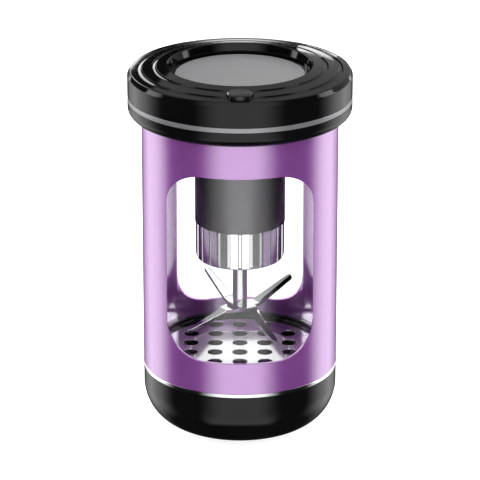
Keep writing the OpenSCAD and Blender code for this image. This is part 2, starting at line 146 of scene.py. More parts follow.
def add_bump(mat, shader, value, depth):
    bump = add_node(mat, "ShaderNodeBump", Distance=depth, Strength=1.0)
    mat.node_tree.links.new(value, bump.inputs["Height"])
    mat.node_tree.links.new(bump.outputs["Normal"], shader.inputs["Normal"])


def shades(color, spread):
    """A darker and a lighter version of a colour."""
    return [c * (1 - spread) for c in color], [min(1, c * (1 + spread)) for c in color]


def grained(name, color, spread, rough, metallic=0.0, grain=900, stretch=(1, 1, 1), depth=0.0, ior=1.5):
    """A material whose roughness and relief follow a fine grain and whose colour follows a coarse one."""
    mat, shader = start_material(name, color, metallic, sum(rough) / 2, ior)
    grain_value = stretched_noise(mat, grain, stretch)
    cloud_value = stretched_noise(mat, grain / 12)
    vary_color(mat, shader, cloud_value, *shades(color, spread))
    vary_roughness(mat, shader, grain_value, *rough)
    if depth:
        add_bump(mat, shader, grain_value, depth)
    return mat, shader


def black_gloss():
    return grained("black_gloss", (0.002, 0.002, 0.0023), 0.25, (0.06, 0.1), grain=700, ior=1.34)[0]


def turned_black():
    """Black with fine rings turned into it round the button's axis."""
    axis_y = -30.5
    mat, shader = grained("turned_black", (0.006, 0.006, 0.007), 0.25, (0.16, 0.22), grain=900, ior=1.45)
    coords = add_node(mat, "ShaderNodeTexCoord")
    centred = add_node(mat, "ShaderNodeMapping", Location=(0, -axis_y * MM, 0))
    rings = add_node(mat, "ShaderNodeTexWave", Scale=700, wave_type="RINGS", rings_direction="Z")
    mat.node_tree.links.new(coords.outputs["Object"], centred.inputs["Vector"])
    mat.node_tree.links.new(centred.outputs["Vector"], rings.inputs["Vector"])
    add_bump(mat, shader, rings.outputs["Fac"], 0.01 * MM)
    return mat


def rubber():
    return grained("rubber", (0.022, 0.022, 0.024), 0.2, (0.5, 0.68), grain=2500, depth=0.02 * MM)[0]


def silicone():
    return grained("silicone", (0.016, 0.016, 0.018), 0.2, (0.32, 0.45), grain=1800, depth=0.01 * MM)[0]


def polished_steel():
    return grained("polished_steel", (0.66, 0.655, 0.67), 0.03, (0.02, 0.05), 1.0, 1500, (1, 8, 1))[0]


def purple_anodised():
    """Purple under a clear coat; the inside of the sleeve is painted a lighter, more saturated purple than
    the outside, as painted light for the light inside the chamber.
    """
    # painted light: a lighter, more saturated copy of the same purple on the inside wall, blended in by
    # radius, stands in for light inside the chamber
    painted_light_inner_color = (0.75, 0.2, 0.95, 1)
    inner_r, outer_r = 31.6, 31.9
    mat, shader = grained("purple_anodised", (0.325, 0.09, 0.41), 0.03, (0.46, 0.5), 0.76, 3000, (1, 1, 0.2))
    shader.inputs["Coat Weight"].default_value = 1.0
    shader.inputs["Coat Roughness"].default_value = 0.13
    shader.inputs["Coat IOR"].default_value = 2.58
    links = mat.node_tree.links
    outside = shader.inputs["Base Color"].links[0].from_socket
    coords = add_node(mat, "ShaderNodeTexCoord")
    across = add_node(mat, "ShaderNodeMapping", Scale=(1, 1, 0))
    radius = add_node(mat, "ShaderNodeVectorMath", operation="LENGTH")
    inside_light_mask = add_node(mat, "ShaderNodeMapRange")
    inside_light_mask.inputs["From Min"].default_value = outer_r * MM
    inside_light_mask.inputs["From Max"].default_value = inner_r * MM
    both = add_node(mat, "ShaderNodeMix", data_type="RGBA")
    share, first, second, mixed = both.inputs[0], both.inputs[6], both.inputs[7], both.outputs[2]
    second.default_value = painted_light_inner_color
    links.new(coords.outputs["Object"], across.inputs["Vector"])
    links.new(across.outputs["Vector"], radius.inputs[0])
    links.new(radius.outputs["Value"], inside_light_mask.inputs["Value"])
    links.new(inside_light_mask.outputs["Result"], share)
    links.new(outside, first)
    links.new(mixed, shader.inputs["Base Color"])
    return mat


def chrome():
    return grained("chrome", (0.74, 0.74, 0.76), 0.02, (0.02, 0.06), 1.0, 900)[0]


def clear_glass():
    mat, shader = grained("clear_glass", (0.985, 0.99, 0.99), 0.004, (0.0, 0.012), grain=300)
    shader.inputs["Transmission Weight"].default_value = 1.0
    return mat


def grey_trim():
    return grained("grey_trim", (0.22, 0.22, 0.23), 0.05, (0.28, 0.36), 0.6, 2500)[0]


def grey_badge():
    return grained("grey_badge", (0.255, 0.255, 0.262), 0.03, (0.30, 0.38), 0.4, 3200, depth=0.004 * MM)[0]


def housing_grey():
    return grained("housing_grey", (0.093, 0.087, 0.095), 0.04, (0.2, 0.26), 0.75, 2600)[0]


def screw_steel():
    return grained("screw_steel", (0.52, 0.52, 0.54), 0.08, (0.22, 0.38), 1.0, 4000)[0]


def circuit_board():
    return grained("circuit_board", (0.012, 0.11, 0.04), 0.25, (0.25, 0.4), grain=1500, depth=0.02 * MM)[0]


def chip_black():
    return grained("chip_black", (0.014, 0.014, 0.016), 0.2, (0.4, 0.55), grain=6000, depth=0.01 * MM)[0]


def socket_steel():
    return grained("socket_steel", (0.6, 0.6, 0.62), 0.05, (0.18, 0.3), 1.0, 2500)[0]


def battery_foil():
    return grained("battery_foil", (0.5, 0.51, 0.54), 0.1, (0.25, 0.45), 0.8, 700, depth=0.06 * MM)[0]


def foam():
    return grained("foam", (0.05, 0.05, 0.055), 0.35, (0.8, 0.95), grain=3500, depth=0.1 * MM)[0]


def wire_red():
    return grained("wire_red", (0.32, 0.012, 0.012), 0.15, (0.35, 0.5), grain=2500)[0]


def wire_black():
    return grained("wire_black", (0.018, 0.018, 0.018), 0.15, (0.35, 0.5), grain=2500)[0]


def motor_steel():
    return grained("motor_steel", (0.46, 0.46, 0.48), 0.08, (0.25, 0.4), 1.0, 2500, (1, 1, 0.1))[0]


def magnet():
    return grained("magnet", (0.05, 0.05, 0.055), 0.3, (0.5, 0.7), 0.3, 2500, depth=0.02 * MM)[0]


def end_cap_plastic():
    return grained("end_cap_plastic", (0.55, 0.5, 0.38), 0.08, (0.4, 0.55), grain=2200, depth=0.01 * MM)[0]


def carbon():
    return grained("carbon", (0.014, 0.014, 0.015), 0.3, (0.55, 0.75), grain=5000, depth=0.02 * MM)[0]


def brass():
    return grained("brass", (0.62, 0.45, 0.16), 0.1, (0.2, 0.35), 1.0, 2500)[0]


def bronze():
    return grained("bronze", (0.44, 0.27, 0.12), 0.15, (0.35, 0.5), 1.0, 5000, depth=0.01 * MM)[0]


def laminated_iron():
    return grained("laminated_iron", (0.2, 0.2, 0.22), 0.15, (0.35, 0.5), 0.9, 1500, (1, 1, 12), 0.02 * MM)[0]


def copper():
    return grained("copper", (0.6, 0.21, 0.08), 0.15, (0.22, 0.35), 1.0, 2600, (1, 1, 6), 0.02 * MM)[0]


MATERIAL_MAKERS = (
    black_gloss, turned_black, rubber, silicone, polished_steel, purple_anodised, chrome, clear_glass,
    grey_trim, grey_badge, housing_grey, screw_steel, circuit_board, chip_black, socket_steel,
    battery_foil, foam, wire_red, wire_black, motor_steel, magnet, end_cap_plastic, carbon, brass,
    bronze, laminated_iron, copper)
MATERIALS = {make.__name__: make() for make in MATERIAL_MAKERS}
NODE_SLOT = {part["node"]: part["material_slot"] for part in frame["record"]["subparts"]}

for node_name, node_object in frame["nodes"].items():
    node_object.data.materials.clear()
    node_object.data.materials.append(MATERIALS[NODE_SLOT[node_name]])


# ---- sizes, in millimetres, read from the frame wherever it tells them

def low(node, axis=2):
    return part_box(node)[0][axis] / MM


def high(node, axis=2):
    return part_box(node)[1][axis] / MM


SLEEVE_R = high("sleeve", 0)
SLEEVE_IN_R = SLEEVE_R - 1.2
SLEEVE_REBATE = 0.3
SLEEVE_TOP = high("sleeve")
SHOULDER_Z = SLEEVE_TOP - 2.6
SHOULDER_CHAMFER = 0.4
GLASS_R = high("glass_tube", 0)
GLASS_IN_R = GLASS_R - 2
WINDOW_H = 63.6
WINDOW_CORNER = 11.5
# each window's half width, and the height of its lower edge
FRONT_WINDOW = (23.8, 32.6)
REAR_WINDOW = (22.8, 31.9)

BASE_TOP = low("chrome_ring") - 0.05
BASE_R = SLEEVE_R - 0.05
FOOT_GAP = 0.6
FOOT_DEPTH = 1.0
FOOT_R = 17.5
FOOT_IN_R = 14.5
NECK_R = SLEEVE_R - 2.4
NECK_IN_R = NECK_R - 2.3
NECK_TOP = high("base_cup")

RIM_Z = high("lid_shell")
LID_R = high("lid_base", 0)
LID_IN_R = LID_R - 1.6
BAND_LOW = low("lid_band")
BAND_HIGH = high("lid_band")
SIDE_TOP = RIM_Z - 3.3
CHAMFER_TOP = RIM_Z - 1.8
CHAMFER_R = LID_R - 0.9
RIM_R = 23.7
# inner and outer radius of each groove
GROOVES = ((RIM_R + 8.2, RIM_R + 9.9), (RIM_R + 3.6, RIM_R + 5.1))
BADGE_R = high("lid_badge", 0)
RECESS_R = BADGE_R + 1.6
RECESS_Z = low("lid_badge")
BUTTON_Y = (low("power_button", 1) + high("power_button", 1)) / 2
BUTTON_R = high("power_button", 0) - 0.35
BUTTON_LOW = low("power_button")
BUTTON_TOP = high("power_button")
BOSS_RING_R = 29.8
SOCKET_Z = (low("usb_socket") + high("usb_socket")) / 2
SOCKET_W = high("usb_socket", 0) * 2
SOCKET_T = high("usb_socket") - low("usb_socket")

COLLAR_LOW = low("fluted_collar")
HOUSING_LOW = high("fluted_collar")
FLUTED_R = 14.66
FLUTES = 24
SHAFT_R = high("blade_shaft", 0)
BLADE_T = 1.1
BLADE_REACH = 21.0
BLADE_TURN = math.radians(34)
BLADE_RISE = 24
HUB_Z = low("blade_shaft") + 2 * BLADE_T
FLAT_HALF = 6.6
TIP_R = 1.2


# ---- mesh helpers

def arc(cx, cz, rx, rz, start, end, steps):
    """Points along an ellipse's arc; angles in degrees."""
    angles = [math.radians(start + (end - start) * i / steps) for i in range(steps + 1)]
    return [(cx + rx * math.cos(a), cz + rz * math.sin(a)) for a in angles]


def rounded(corners):
    """A closed outline; a corner given as (r, z, fillet) is rounded with that radius."""
    outline = []
    for i, corner in enumerate(corners):
        here = Vector(corner[:2])
        if len(corner) == 2:
            outline.append(here)
            continue
        to_last = (Vector(corners[i - 1][:2]) - here).normalized()
        to_next = (Vector(corners[(i + 1) % len(corners)][:2]) - here).normalized()
        half = to_last.angle(to_next) / 2
        cut = corner[2] / math.tan(half)
        centre = here + (to_last + to_next).normalized() * corner[2] / math.sin(half)
        first = here + to_last * cut - centre
        sweep = first.angle_signed(here + to_next * cut - centre)
        for step in range(FILLET_STEPS + 1):
            turn = -sweep * step / FILLET_STEPS
            spoke = Vector((first.x * math.cos(turn) - first.y * math.sin(turn),
                            first.x * math.sin(turn) + first.y * math.cos(turn)))
            outline.append(centre + spoke)
    return outline


def add_quad(bm, *corners):
    """A face of 3 or 4 different vertices; a corner that repeats is dropped."""
    unique = list(dict.fromkeys(corners))
    if len(unique) > 2:
        bm.faces.new(unique)


def bridge(bm, first, second):
    """Faces between two closed rows of vertices. A row of one vertex is a point."""
    count = max(len(first), len(second))
    for i in range(count):
        j = (i + 1) % count
        add_quad(bm, first[i % len(first)], first[j % len(first)],
                 second[j % len(second)], second[i % len(second)])


def shade_by_angle(bm):
    """Smooth faces; an edge is sharp where the surface bends by more than the limit."""
    for face in bm.faces:
        face.smooth = True
    for edge in bm.edges:
        edge.smooth = len(edge.link_faces) == 2 and edge.calc_face_angle() < SHARP_ANGLE


def add_object(name, bm, bevel=0.0):
    """Turns a bmesh drawn in millimetres into a smooth-shaded object in metres."""
    bmesh.ops.remove_doubles(bm, verts=bm.verts, dist=1e-4)
    bmesh.ops.recalc_face_normals(bm, faces=bm.faces)
    bmesh.ops.scale(bm, vec=(MM, MM, MM), verts=bm.verts)
    shade_by_angle(bm)
    mesh = bpy.data.meshes.new(name)
    bm.to_mesh(mesh)
    bm.free()
    piece = bpy.data.objects.new(name, mesh)
    scene.collection.objects.link(piece)
    if bevel:
        modifier = piece.modifiers.new("bevel", "BEVEL")
        modifier.width = bevel * MM
        modifier.segments = 3
        modifier.limit_method = "ANGLE"
        modifier.angle_limit = BEVEL_ANGLE
        modifier.harden_normals = False
    normals = piece.modifiers.new("normals", "WEIGHTED_NORMAL")
    normals.keep_sharp = not bevel
    return piece


def body_of_node(node):
    bodies = frame["record"]["behaviour"]["bodies"]
    return next(body for body, nodes in bodies.items() if node in nodes)


def stand_for(piece, node, extra=False):
    """The piece takes the node's place, body and material. An extra piece only goes with it."""
    piece.data.materials.clear()
    piece.data.materials.append(MATERIALS[NODE_SLOT[node]])
    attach(piece, body_of_node(node))
    if not extra:
        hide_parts(node)


def lathe_rows(bm, outline, centre=(0, 0), segments=SEGMENTS, trim=None):
    """Turns a closed outline of (r, z) about a vertical axis; trim(r, angle) may cut the radius."""
    rows = []
    for r, z in outline:
        count = 1 if r < 1e-6 else segments
        row = []
        for i in range(count):
            a = TURN * i / count
            radius = trim(r, a) if trim else r
            row.append(bm.verts.new((centre[0] + radius * math.cos(a), centre[1] + radius * math.sin(a), z)))
        rows.append(row)
    for i, row in enumerate(rows):
        if len(row) > 1 or len(rows[i - 1]) > 1:
            bridge(bm, rows[i - 1], row)


def lathe(name, corners, centre=(0, 0), segments=SEGMENTS, trim=None):
    bm = bmesh.new()
    lathe_rows(bm, rounded(corners), centre, segments, trim)
    return add_object(name, bm)


def rounded_ring(name, r_out, r_in, z0, z1, fillet):
    return lathe(name, [(r_in, z0, fillet), (r_out, z0, fillet), (r_out, z1, fillet), (r_in, z1, fillet)])


def cut(piece, bm):
    """Cuts a closed bmesh, drawn in millimetres, out of a piece for good."""
    bmesh.ops.recalc_face_normals(bm, faces=bm.faces)
    bmesh.ops.scale(bm, vec=(MM, MM, MM), verts=bm.verts)
    mesh = bpy.data.meshes.new("cutter")
    bm.to_mesh(mesh)
    bm.free()
    cutter = bpy.data.objects.new("cutter", mesh)
    scene.collection.objects.link(cutter)
    modifier = piece.modifiers.new("cut", "BOOLEAN")
    modifier.operation = "DIFFERENCE"
    modifier.solver = "EXACT"
    modifier.object = cutter
    piece.modifiers.move(len(piece.modifiers) - 1, 0)
    with bpy.context.temp_override(object=piece, active_object=piece, selected_objects=[piece]):
        bpy.ops.object.modifier_apply(modifier=modifier.name)
    bpy.data.objects.remove(cutter)


def shade_again(piece):
    """Sets sharp edges by angle again, after a cut."""
    bm = bmesh.new()
    bm.from_mesh(piece.data)
    shade_by_angle(bm)
    bm.to_mesh(piece.data)
    bm.free()


# ---- base

def base_cup():
    flat_r = 18.5
    curve_z = 15
    wall = 2.6
    inside_r = BASE_R - wall - 0.2
    inside_flat_r = flat_r - 1.5
    neck_out_r = NECK_R - 0.5
    ledge_z = BASE_TOP - 1.3
    corners = [(0, FOOT_GAP), (FOOT_IN_R, FOOT_GAP, 0.15), (FOOT_IN_R, FOOT_GAP + FOOT_DEPTH),
               (FOOT_R, FOOT_GAP + FOOT_DEPTH), (FOOT_R, FOOT_GAP, 0.15)]
    corners += arc(flat_r, curve_z, BASE_R - flat_r, curve_z - FOOT_GAP, -90, 0, 40)
    corners += [(BASE_R, BASE_TOP, 0.25), (neck_out_r, BASE_TOP, 0.1), (neck_out_r, NECK_TOP, 0.35),
                (NECK_IN_R, NECK_TOP, 0.35), (NECK_IN_R, ledge_z, 0.8),
                (inside_r, ledge_z - 1.8, 0.8)]
    corners += arc(inside_flat_r, curve_z, inside_r - inside_flat_r, curve_z - FOOT_GAP - wall, 0, -90, 30)
    corners += [(0, FOOT_GAP + wall)]
    stand_for(lathe("cup", corners), "base_cup")


def cup_thread():
    """The neck's thread: one ridge wound round it, running out at both ends."""
    turns = 2.6
    pitch = 1.0
    height = 0.55
    root_half, crest_half = 0.32, 0.08
    root = NECK_R - 0.6
    start_z = BASE_TOP + 0.6
    steps = int(turns * 96)
    bm = bmesh.new()
    rows = []
    for i in range(steps + 1):
        a = TURN * turns * i / steps
        run_out = min(1, 8 * i / steps, 8 * (steps - i) / steps)
        z = start_z + pitch * turns * i / steps
        crest = root + height * run_out + 0.02
        section = [(root, z - root_half), (crest, z - crest_half), (crest, z + crest_half),
                   (root, z + root_half)]
        rows.append([bm.verts.new((r * math.cos(a), r * math.sin(a), h)) for r, h in section])
    for first, second in zip(rows, rows[1:]):
        bridge(bm, first, second)
    bm.faces.new(rows[0])
    bm.faces.new(rows[-1])
    stand_for(add_object("cup_thread", bm), "base_cup", extra=True)


def base_foot():
    stand_for(rounded_ring("foot_ring", FOOT_R, FOOT_IN_R, 0, FOOT_GAP + FOOT_DEPTH, 0.3), "base_foot")


# ---- sieve

def perforated_disc(name, radius, holes, hole_r, z0, z1, edge):
    """A flat disc with round holes and softened edges."""
    loops = [((0, 0), radius, -1, SEGMENTS)] + [(hole, hole_r, 1, HOLE_SEGMENTS) for hole in holes]
    bm = bmesh.new()
    points = []
    edges = []
    owner = {}
    for centre, r, side, count in loops:
        first = len(points)
        face_r = r + side * edge
        spokes = [(math.cos(TURN * i / count), math.sin(TURN * i / count)) for i in range(count)]
        points += [Vector((centre[0] + face_r * c, centre[1] + face_r * s)) for c, s in spokes]
        edges += [(first + i, first + (i + 1) % count) for i in range(count)]
        soft = edge * (1 - math.sqrt(0.5))
        levels = [(face_r, z1), (r + side * soft, z1 - soft), (r, z1 - edge),
                  (r, z0 + edge), (r + side * soft, z0 + soft), (face_r, z0)]
        rows = [[bm.verts.new((centre[0] + ring_r * c, centre[1] + ring_r * s, z)) for c, s in spokes]
                for ring_r, z in levels]
        for upper, lower in zip(rows, rows[1:]):
            bridge(bm, upper, lower)
        for i in range(count):
            owner[first + i] = (rows[0][i], rows[-1][i])
    verts, _, faces, sources, _, _ = delaunay_2d_cdt(points, edges, [], 1, 1e-6)
    for face in faces:
        middle = sum((verts[i] for i in face), Vector((0, 0))) / len(face)
        if any((middle - Vector(hole)).length < hole_r for hole in holes):
            continue
        corners = [owner[sources[i][0]] for i in face]
        bm.faces.new([corner[0] for corner in corners])
        bm.faces.new([corner[1] for corner in reversed(corners)])
    return add_object(name, bm)


def sieve_plate():
    """Round holes on a square grid, kept inside a limiting radius."""
    pitch = 8.3
    hole_r = 2.5
    hole_limit = 22.6
    spots = [(x * pitch, y * pitch / 2) for x in range(-3, 4) for y in range(-5, 6, 2)]
    holes = [spot for spot in spots if math.hypot(*spot) < hole_limit]
    disc = perforated_disc("sieve", high("sieve_plate", 0), holes, hole_r,
                           low("sieve_plate"), high("sieve_plate"), 0.12)
    stand_for(disc, "sieve_plate")


def sieve_seal():
    piece = rounded_ring("sieve_ring", NECK_R - 0.6, NECK_IN_R, low("sieve_seal"), high("sieve_seal"), 0.25)
    stand_for(piece, "sieve_seal")


# ---- chamber

def window_columns(half_width, low_z):
    """Across a window from left to right: distance from its middle, and its edges' heights there."""
    corner_x = half_width - WINDOW_CORNER
    flat = [(corner_x * (i / 12 - 1), 0) for i in range(25)]
    bends = [math.radians(5 * i) for i in range(1, 19)]
    right = [(corner_x + WINDOW_CORNER * math.sin(a), WINDOW_CORNER * (1 - math.cos(a))) for a in bends]
    left = [(-x, rise) for x, rise in reversed(right)]
    return [(x, low_z + rise, low_z + WINDOW_H - rise) for x, rise in left + flat + right]


def sleeve_columns(radius):
    """Once round the sleeve: angle, the window edges' heights there, and whether it's in a window."""
    between = 60
    columns = []
    windows = [window_columns(*FRONT_WINDOW), window_columns(*REAR_WINDOW)]
    for i, window in enumerate(windows):
        middle = math.pi * (i - 0.5)
        last = len(window) - 1
        columns += [(middle + math.asin(x / radius), z_low, z_high, 0 < k < last)
                    for k, (x, z_low, z_high) in enumerate(window)]
        after = windows[1 - i]
        start = columns[-1][:3]
        end = (middle + math.pi + math.asin(after[0][0] / radius), *after[0][1:])
        for k in range(1, between):
            columns.append((*(a + (b - a) * k / between for a, b in zip(start, end)), False))
    return columns


def sleeve():
    """A tube with a window in front and one behind, as a grid of columns round its wall."""
    low_row, high_row = 4, 20
    bottom = low("sleeve")
    bm = bmesh.new()

    def even(start, end, steps):
        return [start + (end - start) * i / steps for i in range(1, steps + 1)]

    def wall(radius, top, rows_above):
        """One face of the wall; returns its columns of vertices."""
        grid = []
        for a, z_low, z_high, is_open in sleeve_columns(radius):
            heights = [bottom] + even(bottom, z_low, low_row)
            heights += even(z_low, z_high, high_row - low_row) + even(z_high, top, 4)
            column = [(radius, z) for z in heights] + rows_above
            grid.append([None if is_open and low_row < k < high_row
                         else bm.verts.new((r * math.cos(a), r * math.sin(a), z))
                         for k, (r, z) in enumerate(column)])
        return grid

    shoulder = [(SLEEVE_R - SLEEVE_REBATE, SHOULDER_Z), (SLEEVE_R - SLEEVE_REBATE, SLEEVE_TOP)]
    outer = wall(SLEEVE_R, SHOULDER_Z - SHOULDER_CHAMFER, shoulder)
    inner = wall(SLEEVE_IN_R, SLEEVE_TOP, [])
    is_open = [column[high_row - 1] is None for column in outer]
    count = len(outer)
    for i in range(count):
        j = (i + 1) % count
        gap = is_open[i] or is_open[j]
        for grid in (outer, inner):
            for k in range(len(grid[i]) - 1):
                if not (gap and low_row <= k < high_row):
                    add_quad(bm, grid[i][k], grid[j][k], grid[j][k + 1], grid[i][k + 1])
        rims = [(0, 0), (-1, -1)] + ([(low_row, low_row), (high_row, high_row)] if gap else [])
        for out_row, in_row in rims:
            add_quad(bm, outer[i][out_row], outer[j][out_row], inner[j][in_row], inner[i][in_row])
        if not is_open[i] and (is_open[i - 1] or is_open[j]):
            for k in range(low_row, high_row):
                add_quad(bm, outer[i][k], outer[i][k + 1], inner[i][k + 1], inner[i][k])
    stand_for(add_object("sleeve_shell", bm, bevel=0.14), "sleeve")


def chrome_ring():
    piece = rounded_ring("bright_ring", SLEEVE_R + 0.05, SLEEVE_IN_R, low("chrome_ring"),
                         high("chrome_ring"), 0.22)
    stand_for(piece, "chrome_ring")


def glass_tube():
    piece = rounded_ring("glass_wall", GLASS_R, GLASS_IN_R, low("glass_tube"), high("glass_tube"), 0.35)
    stand_for(piece, "glass_tube")


def gaskets():
    for node in ("lower_gasket", "upper_gasket"):
        stand_for(rounded_ring(node + "_ring", GLASS_R, GLASS_IN_R, low(node), high(node), 0.18), node)


def chamber_collars():
    hold_r = 27.3
    flange = NECK_TOP + 1.7
    top = high("lower_collar")
    lower = lathe("sieve_holder", [
        (NECK_R + 0.4, low("lower_collar"), 0.2), (SLEEVE_IN_R - 0.05, low("lower_collar"), 0.1),
        (SLEEVE_IN_R - 0.05, top, 0.1), (hold_r, top, 0.3), (hold_r, flange, 0.15),
        (NECK_R + 0.4, flange, 0.1)])
    stand_for(lower, "lower_collar")
    bore_r = NECK_IN_R + 0.3
    z0 = low("upper_collar")
    z1 = high("upper_collar")
    upper = lathe("chamber_rim", [
        (bore_r, z0, 0.2), (SLEEVE_IN_R - 0.05, z0, 0.1), (SLEEVE_IN_R - 0.05, SLEEVE_TOP, 0.02),
        (SLEEVE_R - SLEEVE_REBATE, SLEEVE_TOP, 0.1), (SLEEVE_R - SLEEVE_REBATE, z1, 0.25),
        (bore_r, z1, 0.25)])
    stand_for(upper, "upper_collar")


# ---- lid

def ring_zone_z(r):
    """Height of the sloping ring zone on top of the lid."""
    return CHAMFER_TOP + (CHAMFER_R - r) / (CHAMFER_R - RIM_R) * (RIM_Z - CHAMFER_TOP)


def lid_shell():
    roof_t = 1.6
    recess_t = 1.4
    depth = 0.4
    soft = 0.1
    corners = [(LID_IN_R, BAND_HIGH), (LID_R, BAND_HIGH, 0.2), (LID_R, SIDE_TOP, 1.1),
               (CHAMFER_R, CHAMFER_TOP, 0.6)]
    for inner_r, outer_r in GROOVES:
        inner_z = ring_zone_z(inner_r)
        outer_z = ring_zone_z(outer_r)
        corners += [(outer_r, outer_z, soft), (outer_r - depth, outer_z - depth, soft),
                    (inner_r + depth, inner_z - depth, soft), (inner_r, inner_z, soft)]
    corners += [(RIM_R, RIM_Z, 0.5), (RECESS_R, RECESS_Z + 1.6, 0.3), (RECESS_R, RECESS_Z, 0.25),
                (0, RECESS_Z), (0, RECESS_Z - recess_t), (RECESS_R + recess_t, RECESS_Z - recess_t),
                (RIM_R + 1.5, ring_zone_z(RIM_R + 1.5) - roof_t),
                (LID_IN_R - 0.5, ring_zone_z(LID_IN_R) - roof_t - 0.2), (LID_IN_R, SIDE_TOP - 1)]
    shell = lathe("lid_top", corners)
    cut(shell, button_hole())
    cut(shell, socket_slot())
    shade_again(shell)
    stand_for(shell, "lid_shell")


def button_hole():
    """Cutter for the button's hole; its flared mouth follows the roof's slope."""
    bm = bmesh.new()
    hole_r = BUTTON_R + 0.15
    mouth = ring_zone_z(-BUTTON_Y)
    flare = 0.22
    outline = [(0, mouth - 6), (hole_r, mouth - 6), (hole_r, mouth - flare)]
    outline += arc(hole_r + flare, mouth - flare, flare, flare, 180, 90, 4)[1:]
    outline += [(hole_r + flare, mouth + 2), (0, mouth + 2)]
    lathe_rows(bm, outline, (0, BUTTON_Y), 96)
    slope = (RIM_Z - CHAMFER_TOP) / (CHAMFER_R - RIM_R)
    for vert in bm.verts:
        vert.co.z += slope * (vert.co.y - BUTTON_Y)
    return bm


def socket_slot():
    """Cutter for the charging slot at the back: a rounded slot that widens at the outside."""
    bm = bmesh.new()
    rows = []
    for y, grow in ((LID_IN_R - 2, 0.25), (LID_R - 0.45, 0.25), (LID_R - 0.05, 0.65), (LID_R + 2, 0.65)):
        r = SOCKET_T / 2 + grow
        middle = SOCKET_W / 2 + grow - r
        outline = arc(middle, SOCKET_Z, r, r, -90, 90, 16) + arc(-middle, SOCKET_Z, r, r, 90, 270, 16)
        rows.append([bm.verts.new((x, y, z)) for x, z in outline])
    for first, second in zip(rows, rows[1:]):
        bridge(bm, first, second)
    bm.faces.new(rows[0])
    bm.faces.new(rows[-1])
    return bm


def lid_bosses():
    """Four screw bosses under the lid's roof."""
    boss_r = 2.4
    hole_r = 1.05
    z0 = high("lid_base") - 1.35
    z1 = ring_zone_z(BOSS_RING_R) - 1
    hole_top = z0 + 6.5
    outline = rounded([(hole_r, z0, 0.15), (boss_r, z0, 0.15), (boss_r, z1), (0, z1), (0, hole_top),
                       (hole_r, hole_top)])
    bm = bmesh.new()
    for i in range(4):
        a = TURN * (i + 0.5) / 4
        lathe_rows(bm, outline, (BOSS_RING_R * math.cos(a), BOSS_RING_R * math.sin(a)), 48)
    stand_for(add_object("lid_bosses", bm), "lid_shell", extra=True)


def lid_band():
    piece = rounded_ring("trim_band", LID_R - 0.05, LID_IN_R - 1.25, BAND_LOW, BAND_HIGH, 0.22)
    stand_for(piece, "lid_band")


def lid_badge():
    top = high("lid_badge")
    piece = lathe("badge", [(0, RECESS_Z), (BADGE_R, RECESS_Z), (BADGE_R, top, 0.2), (0, top)])
    stand_for(piece, "lid_badge")


def power_button():
    """A button with a narrow chamfer and a shallow dish turned into its top."""
    face_r = BUTTON_R - 0.35
    flange_r = BUTTON_R + 0.35
    flange_top = BUTTON_LOW + 0.6
    dish_depth = 0.22
    dish = [(face_r * i / 6, BUTTON_TOP - dish_depth * (1 - (i / 6) ** 2)) for i in range(1, 6)]
    corners = [(0, BUTTON_LOW), (flange_r, BUTTON_LOW), (flange_r, flange_top, 0.1),
               (BUTTON_R, flange_top, 0.1), (BUTTON_R, BUTTON_TOP - 0.25, 0.12), (face_r, BUTTON_TOP, 0.12)]
    corners += list(reversed(dish)) + [(0, BUTTON_TOP - dish_depth)]
    stand_for(lathe("button", corners, (0, BUTTON_Y), 128), "power_button")


# ---- motor and blades

def fluted_collar():
    """Flat flutes between narrow ridges; the lower end is rounded off."""
    step = TURN / FLUTES
    flat_r = FLUTED_R - 0.5
    ridge_half = 0.45 / FLUTED_R
    shoulder = 0.16 / FLUTED_R

    def outline_r(r, angle):
        off_ridge = abs((angle - math.pi / 2 + step / 2) % step - step / 2)
        flat = flat_r / math.cos(step / 2 - off_ridge)
        blend = min(1, max(0, (off_ridge - ridge_half) / shoulder))
        blend = blend * blend * (3 - 2 * blend)
        return min(r, FLUTED_R + (flat - FLUTED_R) * blend)

    foot_r = 2.0
    cavity_r = FLUTED_R - 3.65
    boss_r, seat_r, bore_r = 6.6, 5, SHAFT_R + 0.3
    floor_z, boss_z, seat_z = COLLAR_LOW + 2, COLLAR_LOW + 7, COLLAR_LOW + 0.8
    corners = [(bore_r, COLLAR_LOW, 0.1)]
    corners += arc(FLUTED_R - foot_r, COLLAR_LOW + foot_r, foot_r, foot_r, -90, 0, 18)
    corners += [(FLUTED_R, boss_z), (FLUTED_R, HOUSING_LOW - 0.2), (FLUTED_R - 0.2, HOUSING_LOW),
                (cavity_r, HOUSING_LOW), (cavity_r, floor_z), (boss_r, floor_z), (boss_r, boss_z),
                (seat_r, boss_z), (seat_r, seat_z), (bore_r, seat_z)]
    piece = lathe("flutes", corners, segments=FLUTES * 40, trim=outline_r)
    stand_for(piece, "fluted_collar")


def blade_shaft():
    pin_r = 1.6
    pin_z = HUB_Z - 2 * BLADE_T
    socket_r = 1.15
    socket_z = COLLAR_LOW + 3.6
    top = high("blade_shaft")
    piece = lathe("spindle", [
        (0, pin_z), (pin_r, pin_z), (pin_r, HUB_Z, 0.1), (SHAFT_R, HUB_Z, 0.15), (SHAFT_R, top, 0.3),
        (socket_r, top), (socket_r, socket_z), (0, socket_z)], segments=128)
    stand_for(piece, "blade_shaft")


